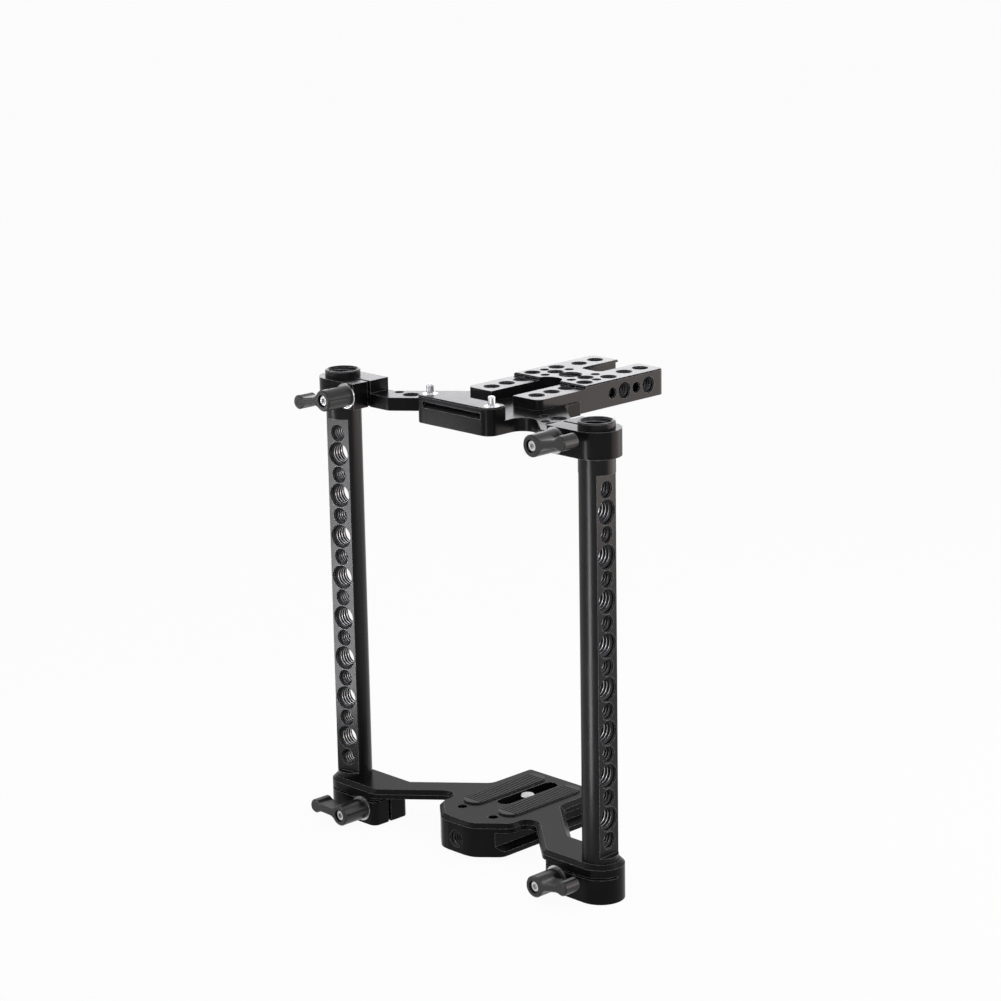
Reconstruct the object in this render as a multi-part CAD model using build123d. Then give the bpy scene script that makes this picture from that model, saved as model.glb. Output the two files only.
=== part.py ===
from build123d import *
import os
from math import cos, radians, sin

# Camera cage: a base bracket and a top bracket that clamp two upright accessory rods, with a
# drilled accessory plate behind the top bracket and a camera screw in the base.
#
# Frame: +X to the right seen from the front, -Y to the front, +Z up. The origin lies on the
# underside of the base body, on the mid plane, level with the two rod axes. Millimetres.

# --- rods
ROD_SPACING = 148.0        # between the two rod axes
ROD_D = 15.0
ROD_RECESS = 0.4           # rod end above the lower face of the base clamp
ROD_PROUD = 2.8            # rod end above the upper face of the top clamp
FLAT_ACROSS = 9.3          # across the two drilled flats
FLAT_OVER_BASE = 2.2       # flats start this far above the base bracket
FLAT_UNDER_TOP = 6.8       # and end this far below the top bracket
ROD_HOLE_PITCH = 9.1
ROD_HOLE_MARGIN = 6.4      # least distance from a hole's centre to the end of the flats
ROD_TURN_LEFT = 8.6        # the left rod's flats face front and rear, turned by this angle
ROD_TURN_RIGHT = 94.0      # the right rod's flats face the sides
END_BORE_D = 12.0          # thread in each rod end
END_WEB = 2.3              # metal between an end thread and the flats
END_CHAMFER = 0.4
END_MOUTH = 0.6

# --- threads, as the diameter of their wall
QUARTER_D = 6.35           # 1/4 inch, 20 turns per inch
THREE_EIGHTHS_D = 9.525    # 3/8 inch, 16 turns per inch
PIN_HOLE_D = 3.3           # locating and cable tie holes
MOUTH = 0.5                # chamfer at each hole's mouth

# --- clamps
ROD_FIT = 0.05             # radial clearance of a rod in its clamp
CLAMP_WALL = 2.45          # round the rod bore
SLIT = 1.5
SLIT_Y = -1.0
TOP_CLAMP_REACH = 17.4     # rod axis to the clamp's inner face
TOP_CLAMP_HEIGHT = 11.0
BASE_CLAMP_REACH = 23.0
BASE_CLAMP_DROP = 2.0      # the base clamps reach this far below the base body
BASE_CLAMP_CORNER_R = 3.0
RELIEF_SLIT = 0.8          # level cut that frees the front jaw of a base clamp
RELIEF_DROP = 1.8          # middle of that cut below the arm

# --- brackets
CENTRE_W = 44.0
CAMERA_SPACE = 167.6       # clear height between the two brackets
EDGE_CHAMFER = 1.8

TOP_ARM_THICK = 5.6
TOP_FRONT_Y = -7.5
TOP_REAR_Y = 45.2
TOP_CORNER_R = 4.5
TOP_ARM_FRONT_ROOT_Y = 17.5
TOP_ARM_REAR_ROOT_Y = 36.2
TOP_ARM_FRONT_END = 29.2   # rod axis to the front corner of the arm
TOP_ARM_CORNER_R = 3.0
TOP_ARM_REAR_END = 21.5    # rod axis to the rear corner of the arm
TOP_FRONT_R = 6.0
TOP_REAR_R = 4.0

RAIL_D = 11.0              # accessory rail along the front of the top bracket, front to back
RAIL_HEIGHT = 5.9
RAIL_REAR_R = 3.0
RAIL_GROOVE_L = 34.0
RAIL_GROOVE_DEPTH = 1.9
RAIL_GROOVE_WALL = 0.9
RAIL_LIP = 2.1

BASE_HEIGHT = 14.5
BASE_ARM_THICK = 3.8       # arms, and the slab that overhangs the base body
BASE_ARM_FRONT_ROOT_Y = 14.9
BASE_ARM_REAR_ROOT_Y = 32.4
BASE_ARM_FRONT_END = 22.9
BASE_ARM_REAR_END = 25.8
BASE_ARM_CORNER_R = 5.0
BASE_ROOT_R = 4.0
BASE_REAR_Y = 57.0
BASE_REAR_R = 3.0
BASE_BODY_W = 38.0
NOSE_Y = -10.1
NOSE_FACET_W = 9.3         # flat at the tip, with the nose's thread
NOSE_SHOULDER_X = 9.4
NOSE_SHOULDER_BACK = 0.6   # shoulder behind the flat
NOSE_SHOULDER_R = 8.0
NOSE_SLOPE = 0.88          # of the sides behind the shoulders
NOSE_SIDE_R = 5.0
GROOVE_NECK_W = 33.0       # quick-release groove along both sides of the base body
GROOVE_WALL = 6.1
GROOVE_SWATH = 26.0        # how far out the groove's cutter ran under the arms
NOSE_HOLE_Z = 5.9
NOSE_HOLE_DEPTH = 12.0
STOP_HOLE_D = 4.3
STOP_HOLE_X = 9.3
STOP_HOLE_Y = 3.0
STOP_HOLE_DEPTH = 6.0

# --- camera seat
PAD_W = 10.5
PAD_X = 10.5
PAD_FRONT_Y = 7.0
PAD_REAR_Y = 52.0
PAD_SEAT = 1.0             # depth of the pad's pocket
PAD_PROUD = 0.7
PAD_GAP = 0.1
RIB_PITCH = 1.5
RIB_GAP = 0.7
RIB_DEPTH = 0.5
SLOT_W = 7.0
SLOT_FRONT_Y = 16.0
SLOT_REAR_Y = 50.0
SLOT_WEB = 4.0             # thickness of the slotted wall
CHANNEL_GAP = 0.3          # screw head to channel wall
HEAD_D = 11.0
HEAD_H = 2.6
HEAD_HEX = 5.0             # across flats
HEAD_HEX_DEPTH = 1.8
WASHER_H = 0.6
CLIP_D = 9.4
CLIP_H = 0.6
CLIP_GAP = 0.1
CLIP_NECK_D = 5.1
SCREW_TIP_BELOW = 0.4      # tip of the lowered screw below the bracket's top
KEEPER_W = 22.0
KEEPER_H = 1.0
KEEPER_RECESS = 0.2
KEEPER_END = 4.5           # keeper past the slot's ends
KEEPER_R = 3.0
KEEPER_SCREW_D = 2.0
KEEPER_SCREW_X = 8.4
KEEPER_SCREW_INSET = 9.5   # from the keeper's ends
KEEPER_SCREW_L = 4.0
KEEPER_SCREW_SHORT = 0.3   # screw tip above the hole's floor
KEEPER_SINK = 0.8          # depth of the countersinks and of the sockets
SEAT_GAP = 0.02            # round pieces seated in their holes

# --- accessory plate
PLATE_W = 42.0
PLATE_FRONT_Y = 21.7
PLATE_STEP_Y = 49.7
PLATE_REAR_Y = 98.0
PLATE_THICK = 11.2
PLATE_LAP = 4.5            # thickness over the bracket
PLATE_STEP = 1.4
PLATE_UNDER = 0.3          # plate's underside above the bracket's underside
PLATE_JOINT = 0.05
PLATE_FRONT_R = 3.5
PLATE_REAR_R = 3.0
FRONT_SLOT_W = 12.6
FRONT_SLOT_END_Y = 54.5
REAR_SLOT_W = 12.0
REAR_SLOT_START_Y = 74.0
REAR_SLOT_R = 3.0
REAR_SLOT_LIP = 1.1        # thickness of the lip round the rear slot
REAR_SLOT_UNDERCUT = 1.3   # the slot is wider by this on each side under its lip
EDGE_ROW_X = 13.1          # 1/4 inch rows beside the slots
FRONT_ROW_Y = 28.6
FRONT_ROW_PITCH = 8.85
REAR_ROW_Y = 81.3
REAR_ROW_PITCH = 10.0
CENTRE_Y = 62.2            # 3/8 inch thread
CENTRE_PITCH = 7.3
CENTRE_SIDE_X = 8.8
WIDE_ROW_X = 15.2
PIN_ROW_X = 7.6
SIDE_HOLE_Y = 65.8
SIDE_HOLE_PITCH = 7.35
SIDE_HOLE_D = 4.0
SIDE_HOLE_DEPTH = 5.5
PLATE_SCREW_D = 2.5
PLATE_SCREW_HEAD_D = 4.5
PLATE_SCREW_HEAD_H = 2.5
PLATE_SCREW_INSET = 2.6    # from the plate's side
PLATE_SCREW_END = 4.3      # from the ends of the lap
PLATE_SCREW_BITE = 3.6
PLATE_SCREW_SINK = 0.2     # head above the bracket's underside, and tip short of the hole's end

# --- holes along each arm of the top bracket: distance from the root, and across the arm
ARM_QUARTER = ((0.76, -0.7), (0.47, 2.0))
ARM_PIN = ((0.92, 4.2), (0.31, -2.8), (0.60, -3.7))

# --- clamp levers
TOP_LEVER_IN = 13.0        # rod axis to lever axis
BASE_LEVER_IN = 15.0
BASE_LEVER_Z = 4.6
LEVER_ANGLES = {"top_left": 190.0, "top_right": 12.0, "base_left": 178.0, "base_right": 12.0}
STUD_D = 5.0
STUD_FIT = 0.05
STUD_SHORT = 1.5           # stud end inside the rear face
JAW_WASHER_D = 10.8
JAW_WASHER_H = 0.6
LEVER_LIFT = 0.1           # handle above its washer
BARREL_D = 9.0
LEVER_H = 13.5             # clamp face to the lever's front
WING_H = 8.0
WING_L = 18.6              # axis to the end of the lobe
LOBE_D = 6.0
WAIST_W = 3.4
WAIST_R = 4.5
WING_FILLET = 0.6
SPLINE_D = 6.6
SPLINE_H = 2.0
SPLINE_FIT = 0.1
LEVER_WEB = 1.6
LEVER_WEB_HOLE_D = 3.4
LEVER_CAVITY = 0.5         # between the toothed socket and the web
LEVER_BORE_D = 5.2
LEVER_SCREW_D = 3.0
LEVER_SCREW_HEAD_D = 4.6
LEVER_SCREW_HEAD_H = 2.6
LEVER_SCREW_HEX = 2.0
LEVER_SCREW_RECESS = 0.8
LEVER_SCREW_BITE = 3.6
SPRING_WIRE = 0.4
LEVER_SPRING_TURNS = 5

# --- spring-loaded stop pins of the accessory rail
STOP_X = 18.0
STOP_Y = -2.0
STOP_PIN_D = 3.0
STOP_PIN_PROUD = 4.0
STOP_PIN_FIT = 0.1
STOP_BUSH_D = 6.4
STOP_BUSH_H = 2.5
STOP_FLANGE_D = 5.4
STOP_FLANGE_H = 1.1
STOP_GUIDE_D = 2.4
STOP_GUIDE_H = 1.5
STOP_FLOOR = 1.5           # metal under the spring
STOP_SPRING_TURNS = 6

OVERSHOOT = 0.5            # cutters run this far past a face

# --- places that follow from the sizes above
ROD_X = ROD_SPACING / 2
ROD_R = ROD_D / 2
CLAMP_BORE_R = ROD_R + ROD_FIT
CLAMP_R = CLAMP_BORE_R + CLAMP_WALL
BASE_CLAMP_Z = -BASE_CLAMP_DROP
BASE_ARM_Z = BASE_HEIGHT - BASE_ARM_THICK
RELIEF_Z = BASE_ARM_Z - RELIEF_DROP
TOP_Z = BASE_HEIGHT + CAMERA_SPACE
DECK_Z = TOP_Z + TOP_ARM_THICK
ROD_BOTTOM = BASE_CLAMP_Z + ROD_RECESS
ROD_TOP = TOP_Z + TOP_CLAMP_HEIGHT + ROD_PROUD
FLAT_BOTTOM = BASE_HEIGHT + FLAT_OVER_BASE
FLAT_TOP = TOP_Z - FLAT_UNDER_TOP
TOP_LEVER_Z = TOP_Z + TOP_CLAMP_HEIGHT / 2
RAIL_TOP = DECK_Z + RAIL_HEIGHT
RAIL_REAR_Y = TOP_FRONT_Y + RAIL_D
PLATE_Z = TOP_Z + PLATE_UNDER
PLATE_TOP = PLATE_Z + PLATE_THICK
LAP_TOP = DECK_Z + PLATE_LAP
SLOT_R = SLOT_W / 2
SLOT_MID_Y = (SLOT_FRONT_Y + SLOT_REAR_Y) / 2
SLOT_L = SLOT_REAR_Y - SLOT_FRONT_Y
CHANNEL_R = HEAD_D / 2 + CHANNEL_GAP
CHANNEL_L = SLOT_L - SLOT_W + 2 * CHANNEL_R
WEB_Z = BASE_HEIGHT - SLOT_WEB
KEEPER_L = SLOT_L + 2 * KEEPER_END
KEEPER_TOP = KEEPER_RECESS + KEEPER_H
HEAD_Z = KEEPER_TOP + WASHER_H
HEAD_TOP = HEAD_Z + HEAD_H
CLIP_Z = HEAD_TOP + CLIP_GAP
STOP_BUSH_Z = RAIL_TOP - STOP_BUSH_H
STOP_FLANGE_Z = STOP_BUSH_Z - STOP_FLANGE_H - STOP_PIN_FIT
STOP_POCKET_Z = TOP_Z + STOP_FLOOR

UP = (Align.CENTER, Align.CENTER, Align.MIN)


# --- general shapes


def outline(corners):
    """A face with corners (x, y, radius) in either order, a radius of 0 being a sharp corner."""
    face = Polygon(*[(x, y) for x, y, _ in corners], align=None)
    if face.face().normal_at().Z < 0:
        return outline(corners[::-1])
    for x, y, radius in corners:
        if radius:
            face = fillet(face.vertices().sort_by_distance((x, y, 0))[:1], radius)
    return face


def both_sides(corners):
    """Corners of the right half, front to rear, joined to their mirror image."""
    return corners + [(-x, y, r) for x, y, r in reversed(corners)]


def slab(face, low, high):
    return extrude(Pos(0, 0, low) * face, amount=high - low, dir=(0, 0, 1))


def block(x0, x1, y0, y1, z0, z1):
    box = Box(abs(x1 - x0), y1 - y0, z1 - z0)
    return Pos((x0 + x1) / 2, (y0 + y1) / 2, (z0 + z1) / 2) * box


def round_bar(radius, low, high):
    return Pos(0, 0, low) * Cylinder(radius, high - low, align=UP)


def ring(outer, inner, low, high):
    return round_bar(outer, low, high) - round_bar(inner, low - OVERSHOOT, high + OVERSHOOT)


def drill(mouth, into, diameter, depth, chamfer=MOUTH):
    """Cutter for a hole from its mouth, with a 45 degree chamfer there."""
    radius = diameter / 2
    shaft = Pos(0, 0, -OVERSHOOT) * Cylinder(radius, depth + OVERSHOOT, align=UP)
    cone = Cone(radius + chamfer + OVERSHOOT, radius, chamfer + OVERSHOOT, align=UP)
    return Plane(origin=mouth, z_dir=into) * (shaft + Pos(0, 0, -OVERSHOOT) * cone)


def through(mouth, into, diameter, depth):
    """Cutters for a through hole with a chamfer at both mouths."""
    far = tuple(m + depth * i for m, i in zip(mouth, into))
    back = tuple(-i for i in into)
    return [
        drill(mouth, into, diameter, depth + OVERSHOOT),
        drill(far, back, diameter, depth / 2),
    ]


def stadium(x, y0, y1, width):
    """A slot's outline along Y, from end to end."""
    return Pos(x, (y0 + y1) / 2) * Rot(0, 0, 90) * SlotOverall(y1 - y0, width)


def coil(mean_radius, wire, low, high, turns):
    """A compression spring about Z."""
    half = wire / 2
    line = Pos(0, 0, low + half) * Helix((high - low - wire) / turns, high - low - wire, mean_radius)
    section = Plane(origin=line @ 0, z_dir=line % 0) * Circle(half)
    return sweep(section, path=line, is_frenet=True)


def hex_socket(across, low, high):
    return slab(RegularPolygon(across / 2, 6, major_radius=False), low, high)


# --- rods


def rod_holes():
    """Height and diameter of each cross hole, the small and large threads in turn."""
    room = FLAT_TOP - FLAT_BOTTOM - 2 * ROD_HOLE_MARGIN
    steps = int(room / ROD_HOLE_PITCH)
    first = FLAT_BOTTOM + ROD_HOLE_MARGIN
    sizes = (QUARTER_D, THREE_EIGHTHS_D)
    return [(first + i * ROD_HOLE_PITCH, sizes[(steps - i) % 2]) for i in range(steps + 1)]


def rod():
    """One upright rod about Z, with its drilled flats facing -Y and +Y."""
    bar = chamfer(round_bar(ROD_R, ROD_BOTTOM, ROD_TOP).edges(), END_CHAMFER)
    half = FLAT_ACROSS / 2
    for side in (-1, 1):
        flat = Box(ROD_D, ROD_D, FLAT_TOP - FLAT_BOTTOM)
        bar -= Pos(0, side * (half + ROD_R), (FLAT_TOP + FLAT_BOTTOM) / 2) * flat
    cutters = [
        drill((0, 0, ROD_BOTTOM), (0, 0, 1), END_BORE_D, FLAT_BOTTOM - ROD_BOTTOM - END_WEB, END_MOUTH),
        drill((0, 0, ROD_TOP), (0, 0, -1), END_BORE_D, ROD_TOP - FLAT_TOP - END_WEB, END_MOUTH),
    ]
    for z, diameter in rod_holes():
        cutters += through((0, -half, z), (0, 1, 0), diameter, FLAT_ACROSS)
    return bar - cutters


# --- clamps


def clamp_block(side, reach, corner_r, low, high):
    """The block round one rod: a round outer end and a square inner end."""
    inner = ROD_X - reach
    front = [(inner, -CLAMP_R, corner_r), (ROD_X, -CLAMP_R, 0)]
    rear = [(x, -y, r) for x, y, r in reversed(front)]
    plan = outline([(side * x, y, r) for x, y, r in front + rear])
    return slab(plan + Pos(side * ROD_X, 0) * Circle(CLAMP_R), low, high)


def clamp_cutters(side, reach, low, high, slit_top):
    """The rod bore, and the slit from the bore to the inner face."""
    inner = side * (ROD_X - reach - OVERSHOOT)
    slit = block(inner, side * ROD_X, SLIT_Y - SLIT / 2, SLIT_Y + SLIT / 2, low - OVERSHOOT, slit_top)
    bore = Pos(side * ROD_X, 0, 0) * round_bar(CLAMP_BORE_R, low - OVERSHOOT, high + OVERSHOOT)
    return [slit, bore]


def stud_hole(x, z):
    return Plane(origin=(x, -CLAMP_R - OVERSHOOT, z), z_dir=(0, 1, 0)) * Cylinder(
        STUD_D / 2, 2 * (CLAMP_R + OVERSHOOT), align=UP
    )


def lever_places():
    """Name, axis x, axis z and wing angle of each clamp lever."""
    top_x = ROD_X - TOP_LEVER_IN
    base_x = ROD_X - BASE_LEVER_IN
    return [
        ("top_left", -top_x, TOP_LEVER_Z, LEVER_ANGLES["top_left"]),
        ("top_right", top_x, TOP_LEVER_Z, LEVER_ANGLES["top_right"]),
        ("base_left", -base_x, BASE_LEVER_Z, LEVER_ANGLES["base_left"]),
        ("base_right", base_x, BASE_LEVER_Z, LEVER_ANGLES["base_right"]),
    ]


# --- base bracket


def base_arm_plan(side):
    """Plan of one arm of the base bracket, from the mid plane to the rod."""
    root = CENTRE_W / 2
    corners = [
        (0, BASE_ARM_FRONT_ROOT_Y, 0),
        (root, BASE_ARM_FRONT_ROOT_Y, 0),
        (ROD_X - BASE_ARM_FRONT_END, -CLAMP_R, BASE_ARM_CORNER_R),
        (ROD_X, -CLAMP_R, 0),
        (ROD_X, CLAMP_R, 0),
        (ROD_X - BASE_ARM_REAR_END, CLAMP_R, 0),
        (root, BASE_ARM_REAR_ROOT_Y, 0),
        (0, BASE_ARM_REAR_ROOT_Y, 0),
    ]
    arm = outline([(side * x, y, r) for x, y, r in corners])
    return arm + Pos(side * ROD_X, 0) * Circle(CLAMP_R)


def centre_plan(half):
    """Plan of the base's middle: a flat tip, round shoulders and straight sides."""
    shoulder_y = NOSE_Y + NOSE_SHOULDER_BACK
    side_y = shoulder_y + NOSE_SLOPE * (half - NOSE_SHOULDER_X)
    corners = [
        (NOSE_FACET_W / 2, NOSE_Y, 0),
        (NOSE_SHOULDER_X, shoulder_y, NOSE_SHOULDER_R),
        (half, side_y, NOSE_SIDE_R),
        (half, BASE_REAR_Y, BASE_REAR_R),
    ]
    return outline(both_sides(corners))


def base_slab():
    """The chamfered top of the base bracket, with its two arms."""
    plan = centre_plan(CENTRE_W / 2) + base_arm_plan(-1) + base_arm_plan(1)
    for side in (-1, 1):
        for y in (BASE_ARM_FRONT_ROOT_Y, BASE_ARM_REAR_ROOT_Y):
            corner = plan.vertices().sort_by_distance((side * CENTRE_W / 2, y, 0))[:1]
            plan = fillet(corner, BASE_ROOT_R)
    top = slab(plan, BASE_ARM_Z, BASE_HEIGHT)
    return chamfer(top.faces().sort_by(Axis.Z)[-1].edges(), EDGE_CHAMFER)


def side_groove(side):
    """One groove along the base body: a flat roof, a wall and a 45 degree lower flank."""
    neck = GROOVE_NECK_W / 2
    lip = BASE_BODY_W / 2
    wall = BASE_ARM_Z - GROOVE_WALL
    foot = wall - (lip - neck)
    profile = Polygon(
        (side * neck, BASE_ARM_Z),
        (side * neck, wall),
        (side * lip, foot),
        (side * GROOVE_SWATH, foot),
        (side * GROOVE_SWATH, BASE_ARM_Z),
        align=None,
    )
    length = BASE_REAR_Y + OVERSHOOT - NOSE_Y
    plane = Plane(origin=(0, BASE_REAR_Y + OVERSHOOT, 0), x_dir=(1, 0, 0), z_dir=(0, -1, 0))
    return extrude(plane * profile, amount=length, dir=(0, -1, 0))


def camera_screw_cutters():
    """The slot, the channel for the screw's head below it, and the keeper's recess."""
    slot = stadium(0, SLOT_FRONT_Y, SLOT_REAR_Y, SLOT_W)
    low = SLOT_MID_Y - CHANNEL_L / 2
    channel = stadium(0, low, low + CHANNEL_L, 2 * CHANNEL_R)
    recess = RectangleRounded(KEEPER_W + 2 * PAD_GAP, KEEPER_L + 2 * PAD_GAP, KEEPER_R)
    cutters = [
        slab(slot, 0, BASE_HEIGHT + OVERSHOOT),
        slab(channel, -OVERSHOOT, WEB_Z),
        slab(Pos(0, SLOT_MID_Y) * recess, -OVERSHOOT, KEEPER_TOP),
    ]
    for x, y in keeper_screw_places():
        cutters.append(drill((x, y, KEEPER_TOP), (0, 0, 1), KEEPER_SCREW_D, KEEPER_SCREW_L, 0.1))
    return cutters


def base_bracket():
    """The base: body, arms and the two rod clamps."""
    part = base_slab() + slab(centre_plan(BASE_BODY_W / 2), 0, BASE_ARM_Z)
    for side in (-1, 1):
        part -= side_groove(side)
    for side in (-1, 1):
        part += clamp_block(side, BASE_CLAMP_REACH, BASE_CLAMP_CORNER_R, BASE_CLAMP_Z, BASE_ARM_Z)
    part -= camera_screw_cutters()
    cutters = [drill((0, NOSE_Y, NOSE_HOLE_Z), (0, 1, 0), QUARTER_D, NOSE_HOLE_DEPTH)]
    for side in (-1, 1):
        cutters += clamp_cutters(side, BASE_CLAMP_REACH, BASE_CLAMP_Z, BASE_HEIGHT, RELIEF_Z)
        inner = side * (ROD_X - BASE_CLAMP_REACH - OVERSHOOT)
        outer = side * (ROD_X + CLAMP_R + OVERSHOOT)
        low = RELIEF_Z - RELIEF_SLIT / 2
        back = SLIT_Y + SLIT / 2
        cutters.append(block(inner, outer, -CLAMP_R - OVERSHOOT, back, low, low + RELIEF_SLIT))
        pocket = stadium(side * PAD_X, PAD_FRONT_Y, PAD_REAR_Y, PAD_W + 2 * PAD_GAP)
        cutters.append(slab(pocket, BASE_HEIGHT - PAD_SEAT, BASE_HEIGHT + OVERSHOOT))
        mouth = (side * STOP_HOLE_X, STOP_HOLE_Y, BASE_HEIGHT)
        cutters.append(drill(mouth, (0, 0, -1), STOP_HOLE_D, STOP_HOLE_DEPTH, MOUTH / 2))
    for name, x, z, _ in lever_places():
        if name.startswith("base"):
            cutters.append(stud_hole(x, z))
    return part - cutters


# --- camera seat pieces


def pad(side):
    """A rubber pad with ribs across it."""
    low = BASE_HEIGHT - PAD_SEAT
    high = BASE_HEIGHT + PAD_PROUD
    body = slab(stadium(side * PAD_X, PAD_FRONT_Y, PAD_REAR_Y, PAD_W), low, high)
    ribs = int((PAD_REAR_Y - PAD_FRONT_Y - PAD_W / 2) / RIB_PITCH)
    first = (PAD_FRONT_Y + PAD_REAR_Y - (ribs - 1) * RIB_PITCH) / 2
    reach = PAD_W / 2 + OVERSHOOT
    gaps = [
        block(
            side * PAD_X - reach,
            side * PAD_X + reach,
            first + i * RIB_PITCH - RIB_GAP / 2,
            first + i * RIB_PITCH + RIB_GAP / 2,
            high - RIB_DEPTH,
            high + OVERSHOOT,
        )
        for i in range(ribs)
    ]
    return body - gaps


def camera_screw():
    """The 1/4 inch camera screw, lowered, with a hex socket in its head."""
    tip = BASE_HEIGHT - SCREW_TIP_BELOW
    head = chamfer(round_bar(HEAD_D / 2, HEAD_Z, HEAD_TOP).edges(), 0.3)
    neck = round_bar(CLIP_NECK_D / 2, HEAD_TOP, CLIP_Z + CLIP_H + CLIP_GAP)
    thread = round_bar(QUARTER_D / 2, CLIP_Z + CLIP_H + CLIP_GAP, tip)
    thread = chamfer(thread.edges().sort_by(Axis.Z)[-1:], MOUTH)
    socket = hex_socket(HEAD_HEX, HEAD_Z - OVERSHOOT, HEAD_Z + HEAD_HEX_DEPTH)
    return Pos(0, SLOT_MID_Y, 0) * (head + neck + thread - socket)


def screw_washer():
    inner = QUARTER_D / 2 + PAD_GAP
    return Pos(0, SLOT_MID_Y, 0) * ring(HEAD_D / 2, inner, KEEPER_TOP, HEAD_Z)


def screw_clip():
    inner = CLIP_NECK_D / 2 + ROD_FIT
    return Pos(0, SLOT_MID_Y, 0) * ring(CLIP_D / 2, inner, CLIP_Z, CLIP_Z + CLIP_H)


def keeper_screw_places():
    inset = KEEPER_L / 2 - KEEPER_SCREW_INSET
    return [(x, SLOT_MID_Y + y) for x in (-KEEPER_SCREW_X, KEEPER_SCREW_X) for y in (-inset, inset)]


def screw_keeper():
    """The slotted plate under the channel that keeps the camera screw in."""
    plate = slab(RectangleRounded(KEEPER_W, KEEPER_L, KEEPER_R), KEEPER_RECESS, KEEPER_TOP)
    slot = slab(stadium(0, -SLOT_L / 2, SLOT_L / 2, SLOT_W), 0, KEEPER_TOP + OVERSHOOT)
    part = Pos(0, SLOT_MID_Y, 0) * (plate - slot)
    return part - [
        drill((x, y, KEEPER_RECESS), (0, 0, 1), KEEPER_SCREW_D, KEEPER_H + OVERSHOOT, KEEPER_SINK)
        for x, y in keeper_screw_places()
    ]


def keeper_screws():
    """Four countersunk screws, seen from below."""
    radius = KEEPER_SCREW_D / 2 - SEAT_GAP
    sink = KEEPER_SINK - PAD_GAP
    low = KEEPER_RECESS + ROD_FIT
    shank = round_bar(radius, low, KEEPER_TOP + KEEPER_SCREW_L - KEEPER_SCREW_SHORT)
    head = Pos(0, 0, low) * Cone(radius + sink, radius, sink, align=UP)
    socket = hex_socket(KEEPER_SCREW_D / 2, low - OVERSHOOT, low + KEEPER_SINK)
    screw = shank + head - socket
    return Compound(children=[Pos(x, y, 0) * screw for x, y in keeper_screw_places()])


# --- top bracket


def arm_point(along, across):
    """A point on the right arm of the top bracket: a share of its length, and across it."""
    root = Vector(CENTRE_W / 2, (TOP_ARM_FRONT_ROOT_Y + TOP_ARM_REAR_ROOT_Y) / 2)
    end = Vector(ROD_X - (TOP_ARM_FRONT_END + TOP_ARM_REAR_END) / 2, (SLIT_Y + CLAMP_R) / 2)
    run = end - root
    normal = Vector(-run.Y, run.X).normalized()
    point = root + run * along + normal * across
    return point.X, point.Y


def top_plan():
    """Plan of the top bracket's plate, without the round clamp ends."""
    root = CENTRE_W / 2
    corners = [
        (root, TOP_FRONT_Y, TOP_CORNER_R),
        (root, TOP_ARM_FRONT_ROOT_Y, TOP_FRONT_R),
        (ROD_X - TOP_ARM_FRONT_END, SLIT_Y, TOP_ARM_CORNER_R),
        (ROD_X, SLIT_Y, 0),
        (ROD_X, CLAMP_R, 0),
        (ROD_X - TOP_ARM_REAR_END, CLAMP_R, 0),
        (root, TOP_ARM_REAR_ROOT_Y, TOP_REAR_R),
        (root, TOP_REAR_Y, 0),
    ]
    return outline(both_sides(corners))


def rail_groove(front):
    """One groove of the rail: a flat roof, a wall and a 45 degree lower flank."""
    face_y = TOP_FRONT_Y if front else RAIL_REAR_Y
    inward = 1 if front else -1
    roof = RAIL_TOP - RAIL_LIP
    wall = roof - RAIL_GROOVE_WALL
    profile = Polygon(
        (face_y - inward * OVERSHOOT, roof),
        (face_y + inward * RAIL_GROOVE_DEPTH, roof),
        (face_y + inward * RAIL_GROOVE_DEPTH, wall),
        (face_y - inward * OVERSHOOT, wall - RAIL_GROOVE_DEPTH - OVERSHOOT),
        align=None,
    )
    plane = Plane(origin=(-RAIL_GROOVE_L / 2, 0, 0), x_dir=(0, 1, 0), z_dir=(1, 0, 0))
    return extrude(plane * profile, amount=RAIL_GROOVE_L, dir=(1, 0, 0))


def rail():
    """The accessory rail along the front of the top bracket."""
    root = CENTRE_W / 2
    corners = [(root, TOP_FRONT_Y, TOP_CORNER_R), (root, RAIL_REAR_Y, RAIL_REAR_R)]
    body = slab(outline(both_sides(corners)), DECK_Z, RAIL_TOP)
    body = chamfer(body.faces().sort_by(Axis.Z)[-1].edges(), MOUTH)
    return body - [rail_groove(True), rail_groove(False)]


def plate_screw_places():
    x = PLATE_W / 2 - PLATE_SCREW_INSET
    rows = (PLATE_FRONT_Y + PLATE_SCREW_END, TOP_REAR_Y - PLATE_SCREW_END)
    return [(side * x, y) for side in (-1, 1) for y in rows]


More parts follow.
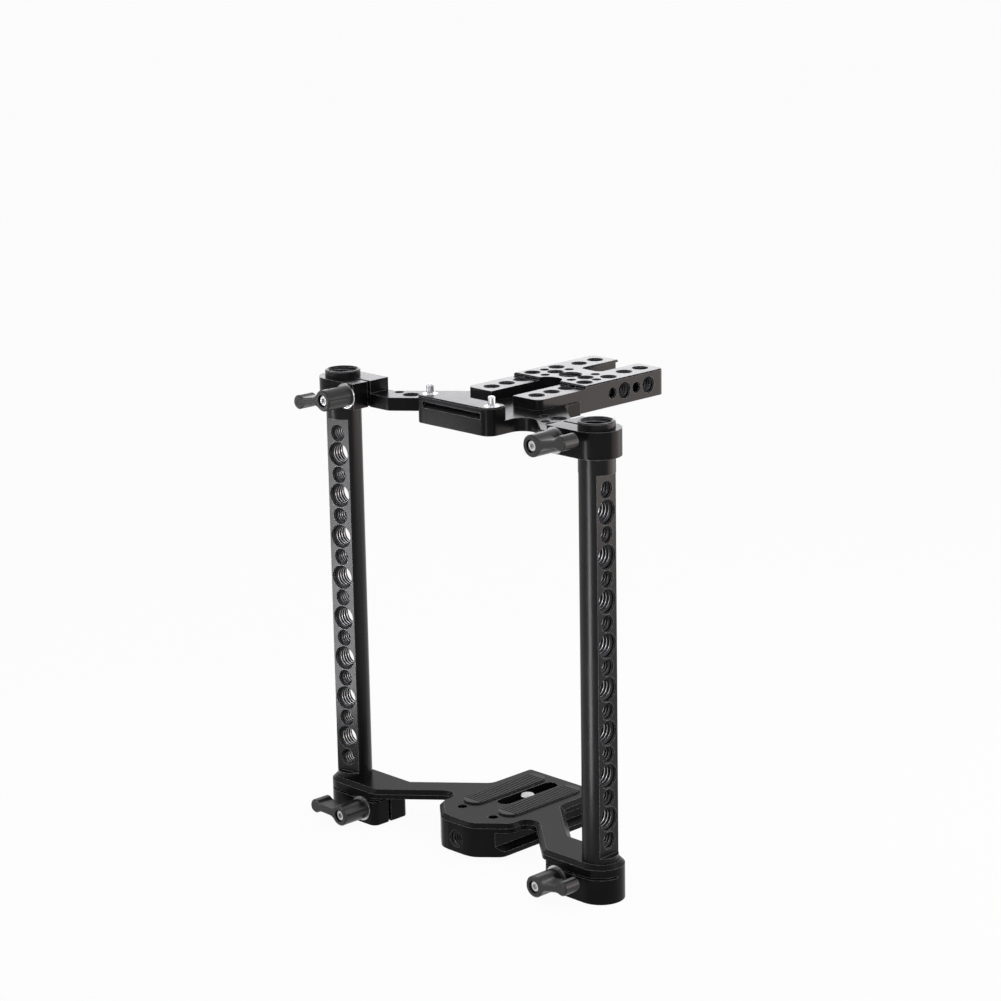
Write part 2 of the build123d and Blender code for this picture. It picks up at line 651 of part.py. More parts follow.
def top_bracket():
    """The top bracket: plate, arms, rod clamps and accessory rail."""
    part = slab(top_plan(), TOP_Z, DECK_Z) + rail()
    high = TOP_Z + TOP_CLAMP_HEIGHT
    for side in (-1, 1):
        part += clamp_block(side, TOP_CLAMP_REACH, 0, TOP_Z, high)
    cutters = []
    for side in (-1, 1):
        cutters += clamp_cutters(side, TOP_CLAMP_REACH, TOP_Z, high, high + OVERSHOOT)
        pocket = round_bar(STOP_BUSH_D / 2, STOP_POCKET_Z, RAIL_TOP + OVERSHOOT)
        cutters.append(Pos(side * STOP_X, STOP_Y, 0) * pocket)
        for places, diameter in ((ARM_QUARTER, QUARTER_D), (ARM_PIN, PIN_HOLE_D)):
            for along, across in places:
                x, y = arm_point(along, across)
                cutters += through((side * x, y, DECK_Z), (0, 0, -1), diameter, TOP_ARM_THICK)
    for name, x, z, _ in lever_places():
        if name.startswith("top"):
            cutters.append(stud_hole(x, z))
    shank = round_bar(PLATE_SCREW_D / 2, TOP_Z - OVERSHOOT, DECK_Z + OVERSHOOT)
    seat = TOP_Z + PLATE_SCREW_SINK + PLATE_SCREW_HEAD_H
    head = round_bar(PLATE_SCREW_HEAD_D / 2, TOP_Z - OVERSHOOT, seat)
    cutters += [Pos(x, y, 0) * (shank + head) for x, y in plate_screw_places()]
    return part - cutters


def stop_pin(side):
    """A round-nosed pin with a flange under its bush and a guide inside its spring."""
    top = RAIL_TOP + STOP_PIN_PROUD
    pin = round_bar(STOP_PIN_D / 2, STOP_FLANGE_Z, top)
    pin = fillet(pin.edges().sort_by(Axis.Z)[-1:], STOP_PIN_D / 5)
    flange = round_bar(STOP_FLANGE_D / 2, STOP_FLANGE_Z, STOP_FLANGE_Z + STOP_FLANGE_H)
    guide = round_bar(STOP_GUIDE_D / 2, STOP_FLANGE_Z - STOP_GUIDE_H, STOP_FLANGE_Z)
    return Pos(side * STOP_X, STOP_Y, 0) * (pin + flange + guide)


def stop_bush(side):
    body = ring(STOP_BUSH_D / 2 - SEAT_GAP, STOP_PIN_D / 2 + STOP_PIN_FIT, STOP_BUSH_Z, RAIL_TOP)
    return Pos(side * STOP_X, STOP_Y, 0) * body


def stop_spring(side):
    mean = (STOP_GUIDE_D + STOP_FLANGE_D) / 4
    body = coil(mean, SPRING_WIRE, STOP_POCKET_Z, STOP_FLANGE_Z, STOP_SPRING_TURNS)
    return Pos(side * STOP_X, STOP_Y, 0) * body


# --- accessory plate


def plate_threads():
    """Mouth, direction, diameter and depth of each threaded or plain hole in the plate."""
    down = (0, 0, -1)
    holes = []
    for side in (-1, 1):
        for i in range(3):
            y = FRONT_ROW_Y + i * FRONT_ROW_PITCH
            holes.append(((side * EDGE_ROW_X, y, LAP_TOP), down, QUARTER_D, PLATE_LAP + SEAT_GAP))
        for i in range(2):
            y = REAR_ROW_Y + i * REAR_ROW_PITCH
            holes.append(((side * EDGE_ROW_X, y, PLATE_TOP), down, QUARTER_D, PLATE_THICK))
        for i in (-1, 1):
            y = CENTRE_Y + i * CENTRE_PITCH
            holes.append(((side * WIDE_ROW_X, y, PLATE_TOP), down, QUARTER_D, PLATE_THICK))
            holes.append(((side * PIN_ROW_X, y, PLATE_TOP), down, PIN_HOLE_D, PLATE_THICK))
        holes.append(((side * CENTRE_SIDE_X, CENTRE_Y, PLATE_TOP), down, QUARTER_D, PLATE_THICK))
        holes.append(((side * WIDE_ROW_X, CENTRE_Y, PLATE_TOP), down, PIN_HOLE_D, PLATE_THICK))
        mid = PLATE_Z + PLATE_THICK / 2
        for i in range(4):
            mouth = (side * PLATE_W / 2, SIDE_HOLE_Y + i * SIDE_HOLE_PITCH, mid)
            diameter = QUARTER_D if i % 2 else SIDE_HOLE_D
            holes.append((mouth, (-side, 0, 0), diameter, SIDE_HOLE_DEPTH))
    holes.append(((0, CENTRE_Y, PLATE_TOP), down, THREE_EIGHTHS_D, PLATE_THICK))
    return holes


def plate_body():
    """The plate before drilling: deep behind the bracket, thin where it laps over it."""
    half = PLATE_W / 2
    front_y = TOP_REAR_Y + PLATE_JOINT
    deep = outline(both_sides([(half, front_y, 0), (half, PLATE_REAR_Y, PLATE_REAR_R)]))
    lap = outline(both_sides([(half, PLATE_FRONT_Y, PLATE_FRONT_R), (half, PLATE_STEP_Y, 0)]))
    part = slab(deep, PLATE_Z, PLATE_TOP)
    wide = half + OVERSHOOT
    part -= block(-wide, wide, PLATE_FRONT_Y, PLATE_STEP_Y, LAP_TOP, PLATE_TOP + OVERSHOOT)
    part += slab(lap, DECK_Z, LAP_TOP)
    rim = part.faces().filter_by(Axis.Z).sort_by(Axis.Z)[-1]
    return chamfer(rim.edges(), MOUTH)


def rear_slot(wider, low, high):
    """Cutter for the rear slot, from its closed end out past the plate's rear."""
    half = REAR_SLOT_W / 2 + wider
    end = (half, REAR_SLOT_START_Y - wider, REAR_SLOT_R + wider)
    return slab(outline(both_sides([(half, PLATE_REAR_Y + OVERSHOOT, 0), end])), low, high)


def accessory_plate():
    """The drilled plate, slotted at both ends, the rear slot undercut below a lip."""
    part = plate_body()
    front = stadium(0, PLATE_FRONT_Y - FRONT_SLOT_W, FRONT_SLOT_END_Y, FRONT_SLOT_W)
    cutters = [
        slab(front, PLATE_Z - OVERSHOOT, PLATE_TOP + OVERSHOOT),
        rear_slot(0, PLATE_Z - OVERSHOOT, PLATE_TOP + OVERSHOOT),
        rear_slot(REAR_SLOT_UNDERCUT, PLATE_Z - OVERSHOOT, PLATE_TOP - REAR_SLOT_LIP),
    ]
    for mouth, into, diameter, depth in plate_threads():
        if depth == PLATE_THICK:
            cutters += through(mouth, into, diameter, depth)
        else:
            cutters.append(drill(mouth, into, diameter, depth))
    hole_end = DECK_Z + PLATE_SCREW_BITE + PLATE_SCREW_SINK
    pocket = round_bar(PLATE_SCREW_D / 2, DECK_Z - OVERSHOOT, hole_end)
    cutters += [Pos(x, y, 0) * pocket for x, y in plate_screw_places()]
    return part - cutters


def plate_screws():
    """Four socket screws that hold the plate from under the bracket."""
    low = TOP_Z + PLATE_SCREW_SINK
    neck = low + PLATE_SCREW_HEAD_H
    head = round_bar(PLATE_SCREW_HEAD_D / 2 - ROD_FIT, low, neck)
    shank = round_bar(PLATE_SCREW_D / 2 - SEAT_GAP, neck, DECK_Z + PLATE_SCREW_BITE)
    socket = hex_socket(PLATE_SCREW_HEAD_D / 2.2, low - OVERSHOOT, low + PLATE_SCREW_HEAD_H / 2)
    screw = head + shank - socket
    return Compound(children=[Pos(x, y, 0) * screw for x, y in plate_screw_places()])


# --- clamp levers, about Z, standing on the clamp's front face at z = 0


def spline(diameter):
    """A twelve-point star, as two hexagons."""
    hexagon = RegularPolygon(diameter / 2, 6)
    return hexagon + Rot(0, 0, 30) * hexagon


def lever_spring_span():
    low = JAW_WASHER_H + LEVER_LIFT + SPLINE_H + LEVER_CAVITY + LEVER_WEB
    return low, LEVER_H - LEVER_SCREW_RECESS - LEVER_SCREW_HEAD_H


def lever_handle():
    """The cast handle: a barrel with a wing, a toothed socket below and a screw bore above."""
    low = JAW_WASHER_H + LEVER_LIFT
    web_top = lever_spring_span()[0]
    lobe_x = WING_L - LOBE_D / 2
    plan = Circle(BARREL_D / 2) + Pos(lobe_x, 0) * Circle(LOBE_D / 2)
    plan += Pos(lobe_x / 2, 0) * Rectangle(lobe_x, WAIST_W)
    plan = fillet(plan.vertices().filter_by(lambda v: 0 < v.X < lobe_x), WAIST_R)
    wing = slab(plan, LEVER_H - WING_H, LEVER_H)
    body = round_bar(BARREL_D / 2, low, LEVER_H - WING_H) + wing
    rim = body.faces().filter_by(Axis.Z).sort_by(Axis.Z)[-1].edges()
    body = chamfer(rim, WING_FILLET)
    bore = round_bar(LEVER_BORE_D / 2, web_top, LEVER_H + OVERSHOOT)
    hole = round_bar(LEVER_WEB_HOLE_D / 2, low, LEVER_H)
    teeth = slab(spline(SPLINE_D + 2 * SPLINE_FIT), low - OVERSHOOT, web_top - LEVER_WEB)
    return body - [bore, hole, teeth]


def lever_stud():
    """The clamp's stud, with a splined head and a thread for the lever's screw."""
    rear = -(2 * CLAMP_R - STUD_SHORT)
    shank = round_bar(STUD_D / 2 - STUD_FIT, rear, JAW_WASHER_H)
    shank = chamfer(shank.edges().sort_by(Axis.Z)[:1], MOUTH)
    head = slab(spline(SPLINE_D), JAW_WASHER_H, JAW_WASHER_H + SPLINE_H)
    top = JAW_WASHER_H + SPLINE_H
    thread = round_bar(LEVER_SCREW_D / 2, top - LEVER_SCREW_BITE - OVERSHOOT, top + OVERSHOOT)
    return shank + head - thread


def lever_screw():
    """The socket screw that keeps the handle on its stud."""
    neck = lever_spring_span()[1]
    tip = JAW_WASHER_H + SPLINE_H - LEVER_SCREW_BITE
    head = round_bar(LEVER_SCREW_HEAD_D / 2, neck, neck + LEVER_SCREW_HEAD_H)
    head = chamfer(head.edges().sort_by(Axis.Z)[-1:], 0.25)
    shank = round_bar(LEVER_SCREW_D / 2 - SEAT_GAP, tip, neck)
    top = neck + LEVER_SCREW_HEAD_H
    socket = hex_socket(LEVER_SCREW_HEX, top - LEVER_SCREW_HEAD_H / 2, top + OVERSHOOT)
    return head + shank - socket


def lever_spring():
    low, high = lever_spring_span()
    return coil((LEVER_BORE_D + LEVER_SCREW_D) / 4, SPRING_WIRE, low, high, LEVER_SPRING_TURNS)


def jaw_washer():
    return ring(JAW_WASHER_D / 2, STUD_D / 2, 0, JAW_WASHER_H)


def on_clamp(shape, x, z, angle):
    """Place a lever piece on a clamp's front face, its wing turned by an angle from +X."""
    wing = (cos(radians(angle)), 0, sin(radians(angle)))
    return Plane(origin=(x, -CLAMP_R, z), x_dir=wing, z_dir=(0, -1, 0)) * shape


# --- the whole cage


def all_nodes():
    nodes = {
        "base_bracket": base_bracket(),
        "screw_keeper": screw_keeper(),
        "keeper_screws": keeper_screws(),
        "camera_screw": camera_screw(),
        "screw_washer": screw_washer(),
        "screw_clip": screw_clip(),
        "top_bracket": top_bracket(),
        "accessory_plate": accessory_plate(),
        "plate_screws": plate_screws(),
    }
    upright = rod()
    nodes["rod_left"] = Pos(-ROD_X, 0, 0) * Rot(0, 0, ROD_TURN_LEFT) * upright
    nodes["rod_right"] = Pos(ROD_X, 0, 0) * Rot(0, 0, ROD_TURN_RIGHT) * upright
    for side, name in ((-1, "left"), (1, "right")):
        nodes[f"camera_pad_{name}"] = pad(side)
        nodes[f"stop_pin_{name}"] = stop_pin(side)
        nodes[f"stop_bush_{name}"] = stop_bush(side)
        nodes[f"stop_spring_{name}"] = stop_spring(side)
    lever = {
        "lever_handle": lever_handle(),
        "lever_stud": lever_stud(),
        "lever_screw": lever_screw(),
        "lever_spring": lever_spring(),
        "jaw_washer": jaw_washer(),
    }
    for place, x, z, angle in lever_places():
        for piece, shape in lever.items():
            nodes[f"{piece}_{place}"] = on_clamp(shape, x, z, angle)
    return nodes


os.makedirs("parts", exist_ok=True)
for node, shape in all_nodes().items():
    export_step(shape, f"parts/{node}.step")
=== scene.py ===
from math import cos, radians, sin, tan, tau

import bpy
from mathutils import Matrix, Vector


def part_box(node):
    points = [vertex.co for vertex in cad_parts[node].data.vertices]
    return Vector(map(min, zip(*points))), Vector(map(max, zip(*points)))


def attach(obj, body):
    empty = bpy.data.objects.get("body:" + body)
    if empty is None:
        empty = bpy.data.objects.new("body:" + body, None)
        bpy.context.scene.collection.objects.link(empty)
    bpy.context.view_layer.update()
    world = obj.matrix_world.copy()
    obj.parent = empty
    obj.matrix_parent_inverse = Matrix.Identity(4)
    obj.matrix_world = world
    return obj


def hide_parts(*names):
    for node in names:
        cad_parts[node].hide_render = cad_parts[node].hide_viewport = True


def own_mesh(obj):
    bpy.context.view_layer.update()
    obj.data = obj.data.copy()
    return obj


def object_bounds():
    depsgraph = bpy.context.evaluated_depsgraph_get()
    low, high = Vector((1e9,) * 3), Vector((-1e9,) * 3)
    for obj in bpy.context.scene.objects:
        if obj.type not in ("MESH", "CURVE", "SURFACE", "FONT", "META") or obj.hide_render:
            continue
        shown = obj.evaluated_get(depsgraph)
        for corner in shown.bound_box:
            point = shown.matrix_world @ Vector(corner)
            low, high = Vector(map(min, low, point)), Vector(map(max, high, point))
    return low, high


# Camera cage: materials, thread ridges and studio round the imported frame. Metres, +Z up.

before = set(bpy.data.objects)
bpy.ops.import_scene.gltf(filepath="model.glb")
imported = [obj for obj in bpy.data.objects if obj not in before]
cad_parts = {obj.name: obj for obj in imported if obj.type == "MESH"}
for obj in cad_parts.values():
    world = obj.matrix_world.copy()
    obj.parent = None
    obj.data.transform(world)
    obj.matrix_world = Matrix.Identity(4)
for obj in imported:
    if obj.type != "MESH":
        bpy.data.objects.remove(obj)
CAD_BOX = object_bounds()
MM = 0.001

# --- camera, in the object's frame
CAMERA_AT = (0.8198, -0.7862, 0.4452)
CAMERA_AZIMUTH = 45.49       # degrees from -Y towards +X
CAMERA_ELEVATION = 14.54
CAMERA_ROLL = -1.00
CAMERA_LENS = 102.91         # millimetres, as is the sensor
SENSOR_WIDTH = 36

# --- threads: wall radius, pitch and ridge height, millimetres
QUARTER = (3.175, 1.27, 0.62)
THREE_EIGHTHS = (4.7625, 1.5875, 0.78)
END_THREAD = (6.0, 1.75, 0.85)
MOUTH = 0.5                  # bare length at a hole's mouth
WALL_OVERLAP = 0.03          # how far a ridge's foot is sunk into the wall
THREAD_STEPS = 36            # straight pieces in one turn of a ridge
FADE_STEPS = THREAD_STEPS / 4  # steps in which a ridge grows from its end to its full height
LEAST_HEIGHT = 0.02          # height of a ridge's very end, as a share of the full height
RIDGE_FOOT = 0.44            # half the width of a ridge at the wall, as a share of the pitch
CREST = 0.08                 # half the width of its crest
SHARP_ANGLE = 35             # degrees between faces that are shaded as an edge

# --- places of the threaded holes, millimetres
ROD_X = 74.0
ROD_TURNS = {"rod_left": 8.6, "rod_right": 94.0}
FLAT_ACROSS = 9.3
ROD_HOLE_FIRST = 23.1
ROD_HOLE_PITCH = 9.1
ROD_HOLES = 17
ROD_END_DEPTHS = (16.0, 18.3)  # bottom and top
NOSE_HOLE = (0, -10.1, 5.9)
NOSE_HOLE_DEPTH = 12.0
DECK_Z = 187.7
TOP_ARM_THICK = 5.6
ARM_ROOT = (22.0, 26.85)
ARM_END = (48.65, 4.5)
ARM_THREADS = ((0.76, -0.7), (0.47, 2.0))  # share of the arm's length, and across it
PLATE_HALF = 21.0
PLATE_TOP = 193.6
PLATE_THICK = 11.2
PLATE_CENTRE_Y = 62.2
LAP_TOP = 192.2
LAP_THICK = 4.5
LAP_THREADS = ((13.1, 28.6), (13.1, 37.45), (13.1, 46.3))
PLATE_THREADS = ((13.1, 81.3), (13.1, 91.3), (15.2, 54.9), (15.2, 69.5), (8.8, PLATE_CENTRE_Y))
SIDE_THREADS_Y = (73.15, 87.85)
SIDE_THREAD_DEPTH = 5.5

# --- materials: darkest and lightest colour of each mottled surface
BRACKET_BLACK = ((0.003, 0.003, 0.0035), (0.007, 0.007, 0.0075))
PLATE_BLACK = ((0.004, 0.004, 0.0045), (0.009, 0.009, 0.010))
ROD_BLACK = ((0.003, 0.003, 0.0035), (0.006, 0.006, 0.0065))
PAINT_BLACK = BRACKET_BLACK
RUBBER_BLACK = ((0.014, 0.014, 0.015), (0.030, 0.030, 0.031))
NYLON_WHITE = ((0.62, 0.61, 0.56), (0.75, 0.74, 0.70))
PAPER_WHITE = ((0.80, 0.80, 0.81), (0.84, 0.84, 0.85))
HIGHLIGHT_AND_WEAR_METAL = (0.75, 0.75, 0.77)  # painted highlight and light wear on edges, and painted highlight on thread crests
DULL_SHARE = 0.72            # darkest colour of a metal, as a share of its lightest
NOISE_RANGE = (0.3, 0.7)     # what the value of a noise texture mostly covers

# --- studio
FLOOR_REACH = 6.0            # metres from the middle to each side
FLOOR_WHITE = 0.95           # share of plain white in the floor where it is seen or mirrored
ROOM_LIGHT = 0.08            # light of the world on matt surfaces, from low down
SKY_LIGHT = 0.75             # and from overhead
SKY_RISE = (0.5, 0.9)        # Z of a direction, between which the one becomes the other
LAMP_POWER = 4               # watts that give a square metre of lamp a radiance of 1


# --- shader nodes


def new_material(name):
    """An empty material: its node tree and its shader, joined to the output."""
    material = bpy.data.materials.new(name)
    material.use_nodes = True
    tree = material.node_tree
    tree.nodes.clear()
    out = tree.nodes.new("ShaderNodeOutputMaterial")
    shader = tree.nodes.new("ShaderNodeBsdfPrincipled")
    tree.links.new(shader.outputs["BSDF"], out.inputs["Surface"])
    return material, tree, shader


def coordinates(tree, scale=(1, 1, 1)):
    """Object coordinates, so that a pattern keeps its real size and moves with its piece."""
    place = tree.nodes.new("ShaderNodeTexCoord")
    mapping = tree.nodes.new("ShaderNodeMapping")
    mapping.inputs["Scale"].default_value = scale
    tree.links.new(place.outputs["Object"], mapping.inputs["Vector"])
    return mapping.outputs["Vector"]


def noise(tree, vector, scale, detail, rough=0.55):
    node = tree.nodes.new("ShaderNodeTexNoise")
    node.inputs["Scale"].default_value = scale
    node.inputs["Detail"].default_value = detail
    node.inputs["Roughness"].default_value = rough
    tree.links.new(vector, node.inputs["Vector"])
    return node.outputs["Fac"]


def remap(tree, value, low, high, start, end):
    """Low where the value is start or less, and high where it is end or more."""
    node = tree.nodes.new("ShaderNodeMapRange")
    node.inputs["From Min"].default_value = start
    node.inputs["From Max"].default_value = end
    node.inputs["To Min"].default_value = low
    node.inputs["To Max"].default_value = high
    tree.links.new(value, node.inputs["Value"])
    return node.outputs["Result"]


def feed(tree, value, socket):
    """Link a node's output to a socket, or set a plain value on it."""
    if isinstance(value, bpy.types.NodeSocket):
        tree.links.new(value, socket)
    else:
        socket.default_value = value


def blend_colour(tree, factor, dark, light):
    """Mix two colours, each an output or a plain RGB colour."""
    node = tree.nodes.new("ShaderNodeMix")
    node.data_type = "RGBA"
    tree.links.new(factor, node.inputs["Factor"])
    first, second, mixed = node.inputs[6], node.inputs[7], node.outputs[2]  # the colour sockets
    for socket, colour in ((first, dark), (second, light)):
        feed(tree, (*colour, 1.0) if isinstance(colour, tuple) else colour, socket)
    return mixed


def math_node(tree, kind, first, second):
    node = tree.nodes.new("ShaderNodeMath")
    node.operation = kind
    for socket, value in zip(node.inputs, (first, second)):
        feed(tree, value, socket)
    return node.outputs["Value"]


def mix_shaders(tree, factor, first, second):
    node = tree.nodes.new("ShaderNodeMixShader")
    for socket, output in zip(node.inputs, (factor, first, second)):
        tree.links.new(output, socket)
    return node.outputs["Shader"]


def bump(tree, height, distance, strength, normal=None):
    node = tree.nodes.new("ShaderNodeBump")
    node.inputs["Distance"].default_value = distance
    node.inputs["Strength"].default_value = strength
    tree.links.new(height, node.inputs["Height"])
    if normal is not None:
        tree.links.new(normal, node.inputs["Normal"])
    return node.outputs["Normal"]


def soft_edges(tree, radius):
    """The surface's normal, rounded over edges."""
    node = tree.nodes.new("ShaderNodeBevel")
    node.samples = 4
    node.inputs["Radius"].default_value = radius
    return node.outputs["Normal"]


def edge_mask(tree, radius, full, none):
    """1 on outer and inner edges, where the bevelled normal leaves the face's own normal.

    The mask is 1 where the dot product of the two is full or less, and 0 where it is none or more.
    """
    bevel = soft_edges(tree, radius)
    geometry = tree.nodes.new("ShaderNodeNewGeometry")
    dot = tree.nodes.new("ShaderNodeVectorMath")
    dot.operation = "DOT_PRODUCT"
    tree.links.new(bevel, dot.inputs[0])
    tree.links.new(geometry.outputs["Normal"], dot.inputs[1])
    return remap(tree, dot.outputs["Value"], 1.0, 0.0, full, none)


def seen_or_mirrored(tree):
    """1 for the camera's rays and for those that a glossy or clear surface sends on."""
    path = tree.nodes.new("ShaderNodeLightPath")
    seen = path.outputs["Is Camera Ray"]
    for kind in ("Is Glossy Ray", "Is Transmission Ray"):
        seen = math_node(tree, "MAXIMUM", seen, path.outputs[kind])
    return seen


# --- materials


def anodised(name, shades, rough, grain, ior):
    """Satin black anodised aluminium: fine grain, faint cutter marks, and edges painted paler, as
    painted highlights with light wear.

    The cutter marks are drawn out along the axes on which grain is small.
    """
    material, tree, shader = new_material(name)
    plain = coordinates(tree)
    streaky = coordinates(tree, grain)
    cloud = noise(tree, plain, scale=60.0, detail=4.0)
    marks = noise(tree, streaky, scale=2600.0, detail=2.0)
    speck = noise(tree, plain, scale=9000.0, detail=2.0)
    colour = blend_colour(tree, remap(tree, cloud, 0, 1, *NOISE_RANGE), *shades)
    # Edges painted paler metal, patchy along their length: painted edge highlights, with light wear.
    edges = edge_mask(tree, radius=0.17 * MM, full=0.90, none=0.995)
    patchy = remap(tree, speck, low=0.35, high=0.85, start=0.35, end=0.65)
    colour = blend_colour(tree, math_node(tree, "MULTIPLY", edges, patchy), colour, HIGHLIGHT_AND_WEAR_METAL)
    tree.links.new(colour, shader.inputs["Base Color"])
    marked = remap(tree, marks, rough - 0.025, rough + 0.025, *NOISE_RANGE)
    clouded = remap(tree, cloud, -0.015, 0.015, *NOISE_RANGE)
    tree.links.new(math_node(tree, "ADD", marked, clouded), shader.inputs["Roughness"])
    shader.inputs["IOR"].default_value = ior
    normal = soft_edges(tree, radius=0.15 * MM)
    normal = bump(tree, marks, distance=0.004 * MM, strength=0.18, normal=normal)
    normal = bump(tree, speck, distance=0.004 * MM, strength=0.5, normal=normal)
    tree.links.new(normal, shader.inputs["Normal"])
    return material


def metal(name, colour, rough):
    """Bright or blackened metal with fine scratches."""
    material, tree, shader = new_material(name)
    plain = coordinates(tree)
    marks = noise(tree, plain, scale=1500.0, detail=3.0)
    cloud = noise(tree, plain, scale=180.0, detail=3.0)
    dull = tuple(c * DULL_SHARE for c in colour)
    tree.links.new(blend_colour(tree, remap(tree, cloud, 0, 1, *NOISE_RANGE), dull, colour),
                   shader.inputs["Base Color"])
    tree.links.new(remap(tree, marks, rough - 0.07, rough + 0.1, *NOISE_RANGE),
                   shader.inputs["Roughness"])
    shader.inputs["Metallic"].default_value = 1.0
    normal = soft_edges(tree, radius=0.08 * MM)
    normal = bump(tree, marks, distance=0.006 * MM, strength=0.5, normal=normal)
    tree.links.new(normal, shader.inputs["Normal"])
    return material


def cast_paint(name):
    """Glossy black paint over cast metal, with the casting's soft waves."""
    material, tree, shader = new_material(name)
    plain = coordinates(tree)
    waves = noise(tree, plain, scale=420.0, detail=2.0)
    grain = noise(tree, plain, scale=5200.0, detail=2.0)
    tree.links.new(blend_colour(tree, waves, *PAINT_BLACK), shader.inputs["Base Color"])
    tree.links.new(remap(tree, grain, 0.27, 0.37, *NOISE_RANGE), shader.inputs["Roughness"])
    shader.inputs["IOR"].default_value = 1.45
    normal = soft_edges(tree, radius=0.3 * MM)
    normal = bump(tree, waves, distance=0.05 * MM, strength=0.25, normal=normal)
    normal = bump(tree, grain, distance=0.004 * MM, strength=0.35, normal=normal)
    tree.links.new(normal, shader.inputs["Normal"])
    return material


def rubber(name):
    """Matt black rubber with a fine moulded grain."""
    material, tree, shader = new_material(name)
    plain = coordinates(tree)
    cloud = noise(tree, plain, scale=300.0, detail=3.0)
    grain = noise(tree, plain, scale=7000.0, detail=3.0)
    tree.links.new(blend_colour(tree, cloud, *RUBBER_BLACK), shader.inputs["Base Color"])
    tree.links.new(remap(tree, grain, 0.42, 0.60, *NOISE_RANGE), shader.inputs["Roughness"])
    shader.inputs["IOR"].default_value = 1.38
    normal = soft_edges(tree, radius=0.12 * MM)
    normal = bump(tree, grain, distance=0.02 * MM, strength=0.6, normal=normal)
    tree.links.new(normal, shader.inputs["Normal"])
    return material


def nylon(name):
    """Natural nylon, off-white and slightly cloudy."""
    material, tree, shader = new_material(name)
    cloud = noise(tree, coordinates(tree), scale=700.0, detail=3.0)
    tree.links.new(blend_colour(tree, cloud, *NYLON_WHITE), shader.inputs["Base Color"])
    tree.links.new(remap(tree, cloud, 0.40, 0.52, *NOISE_RANGE), shader.inputs["Roughness"])
    normal = bump(tree, cloud, distance=0.01 * MM, strength=0.4)
    tree.links.new(normal, shader.inputs["Normal"])
    return material


MATERIALS = {
    "bracket": anodised("bracket_anodised", BRACKET_BLACK, 0.25, grain=(1, 0.06, 1), ior=1.17),
    "plate": anodised("plate_anodised", PLATE_BLACK, 0.25, grain=(0.06, 1, 1), ior=1.24),
    "rod": anodised("rod_anodised", ROD_BLACK, 0.30, grain=(1, 1, 14), ior=1.25),
    "thread": metal("thread_flank", (0.035, 0.035, 0.038), 0.38),
    # the crests' bright metal is a painted highlight along each ridge
    "crest": metal("thread_crest_highlight", HIGHLIGHT_AND_WEAR_METAL, 0.30),
    "lever": cast_paint("lever_paint"),
    "steel": metal("bright_steel", (0.62, 0.62, 0.64), 0.22),
    "screw": metal("screw_steel", (0.60, 0.60, 0.61), 0.26),
    "washer": metal("washer_steel", (0.60, 0.60, 0.61), 0.28),
    "spring": metal("spring_steel", (0.48, 0.48, 0.50), 0.25),
    "black_steel": metal("black_steel", (0.09, 0.09, 0.10), 0.34),
    "rubber": rubber("ribbed_rubber"),
    "nylon": nylon("natural_nylon"),
}

# --- start of a CAD node's name, and its material
NODE_MATERIALS = (
    ("base_bracket", "bracket"),
    ("top_bracket", "bracket"),
    ("accessory_plate", "plate"),
    ("rod_", "rod"),
    ("camera_pad_", "rubber"),
    ("lever_handle_", "lever"),
    ("lever_stud_", "black_steel"),
    ("lever_screw_", "screw"),
    ("lever_spring_", "spring"),
    ("jaw_washer_", "washer"),
    ("stop_pin_", "steel"),
    ("stop_bush_", "steel"),
    ("stop_spring_", "spring"),
    ("camera_screw", "steel"),
    ("screw_washer", "nylon"),
    ("screw_clip", "spring"),
    ("screw_keeper", "plate"),
    ("keeper_screws", "black_steel"),
    ("plate_screws", "black_steel"),
)


def paint_frame():
    """Give every CAD node its material."""
    for node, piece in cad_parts.items():
        kind = next(kind for start, kind in NODE_MATERIALS if node.startswith(start))
        if not piece.material_slots:
            piece.data.materials.append(MATERIALS[kind])
        for slot in piece.material_slots:
            slot.material = MATERIALS[kind]


# --- thread ridges


def ridge(points, faces, crests, mouth, into, thread, depth, through=True):
    """Add one helical ridge inside a hole's wall, from below its mouth's chamfer to its end.

    Each step along it has four points: foot, two of the crest, and foot. The numbers of the
    faces on its crest go into crests.
    """
    wall, pitch, height = thread
    mouth = Vector(mouth)
    into = Vector(into).normalized()
    side = into.orthogonal().normalized()
    up = into.cross(side)
    start = MOUTH + RIDGE_FOOT * pitch
    end = depth - RIDGE_FOOT * pitch - (MOUTH if through else 0)
    count = int((end - start) / pitch * THREAD_STEPS)
    first = len(points)
    foot = wall + WALL_OVERLAP
    for i in range(count + 1):
        angle = tau * i / THREAD_STEPS
        along = start + pitch * i / THREAD_STEPS
        fade = max(LEAST_HEIGHT, min(1.0, i / FADE_STEPS, (count - i) / FADE_STEPS))
        out = side * cos(angle) + up * sin(angle)
        crest = wall - height * fade
        section = ((foot, -RIDGE_FOOT), (crest, -CREST), (crest, CREST), (foot, RIDGE_FOOT))
        for radius, offset in section:
            points.append((mouth + into * (along + offset * pitch) + out * radius) * MM)
    for i in range(count):
        near = first + 4 * i
        far = near + 4
        crests.append(len(faces) + 1)
        for j in range(3):
            faces.append((near + j, near + j + 1, far + j + 1, far + j))
        faces.append((near + 3, near, far, far + 3))
    faces.append((first, first + 3, first + 2, first + 1))
    last = first + 4 * count
    faces.append((last, last + 1, last + 2, last + 3))


